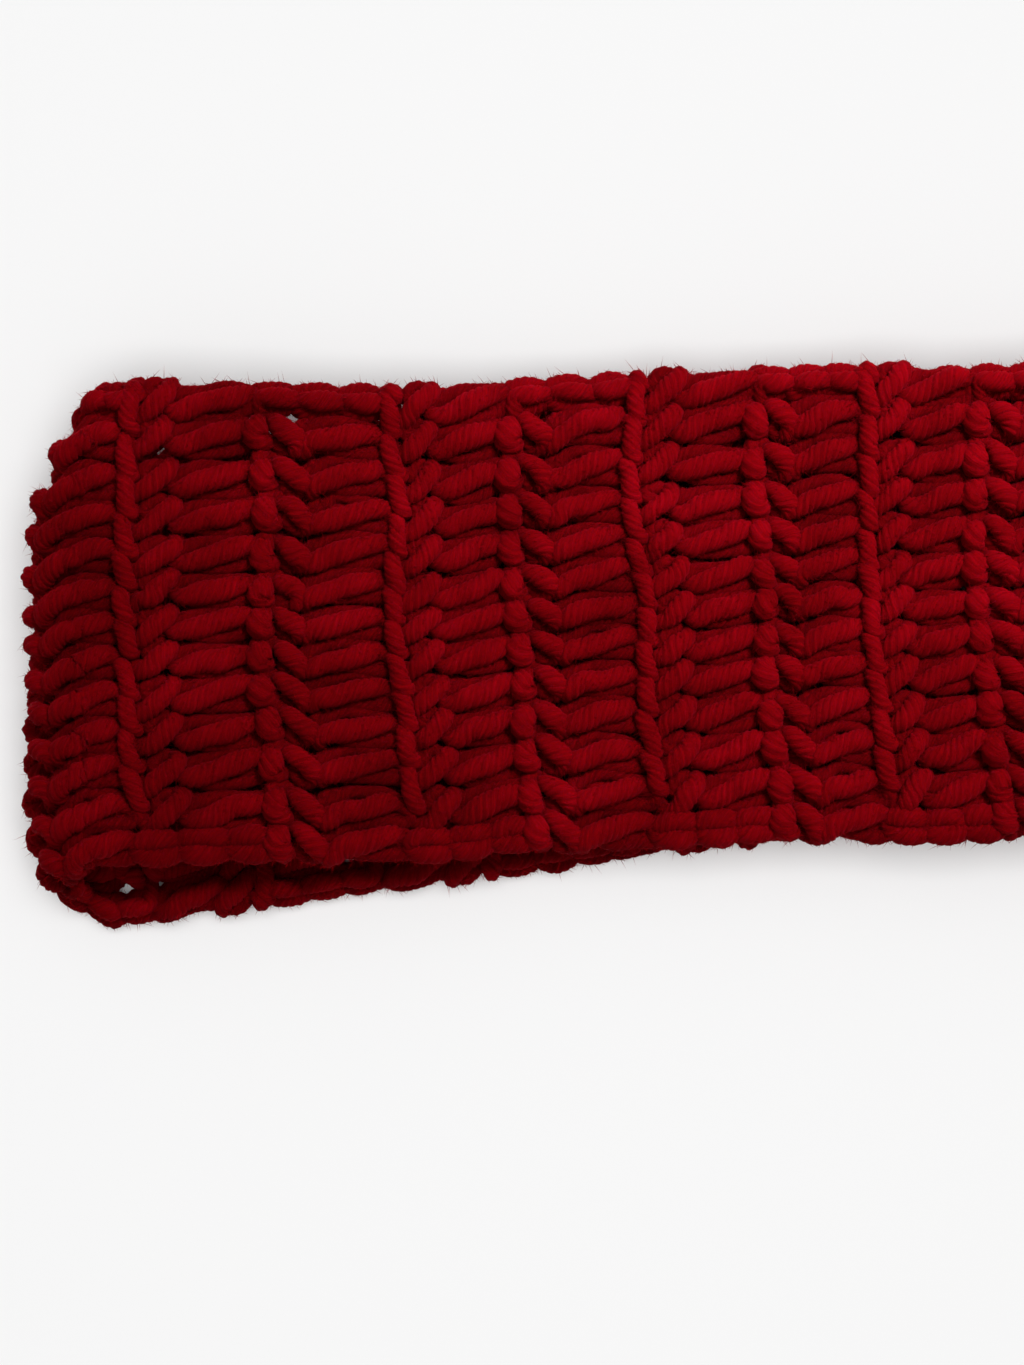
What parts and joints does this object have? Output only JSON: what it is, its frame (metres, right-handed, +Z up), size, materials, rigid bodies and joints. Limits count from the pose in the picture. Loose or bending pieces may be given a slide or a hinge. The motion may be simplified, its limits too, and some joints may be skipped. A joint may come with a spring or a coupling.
{
  "type": "crocheted headband",
  "caption": "Wide crocheted band joined into a loop and laid flat and doubled, with a soft fold at each end.",
  "frame": {"origin": "middle of the underside, on the surface that the band lies on", "axes": "+X along the doubled band, +Y across its width, +Z up, away from the surface"},
  "size_m": [0.2412, 0.105, 0.0206],
  "materials": {
    "yarn": "soft plied yarn, matt with a fine fuzz"
  },
  "bodies": {
    "root": {"foundation_chain": "yarn", "row_01": "yarn", "row_02": "yarn", "row_03": "yarn", "row_04": "yarn", "row_05": "yarn", "row_06": "yarn", "row_07": "yarn", "row_08": "yarn", "row_09": "yarn", "row_10": "yarn", "row_11": "yarn", "row_12": "yarn", "row_13": "yarn", "row_14": "yarn", "row_15": "yarn", "row_16": "yarn", "row_17": "yarn", "row_18": "yarn", "row_19": "yarn", "row_20": "yarn", "row_21": "yarn", "row_22": "yarn", "joining_seam": "yarn"}
  },
  "joints": []
}
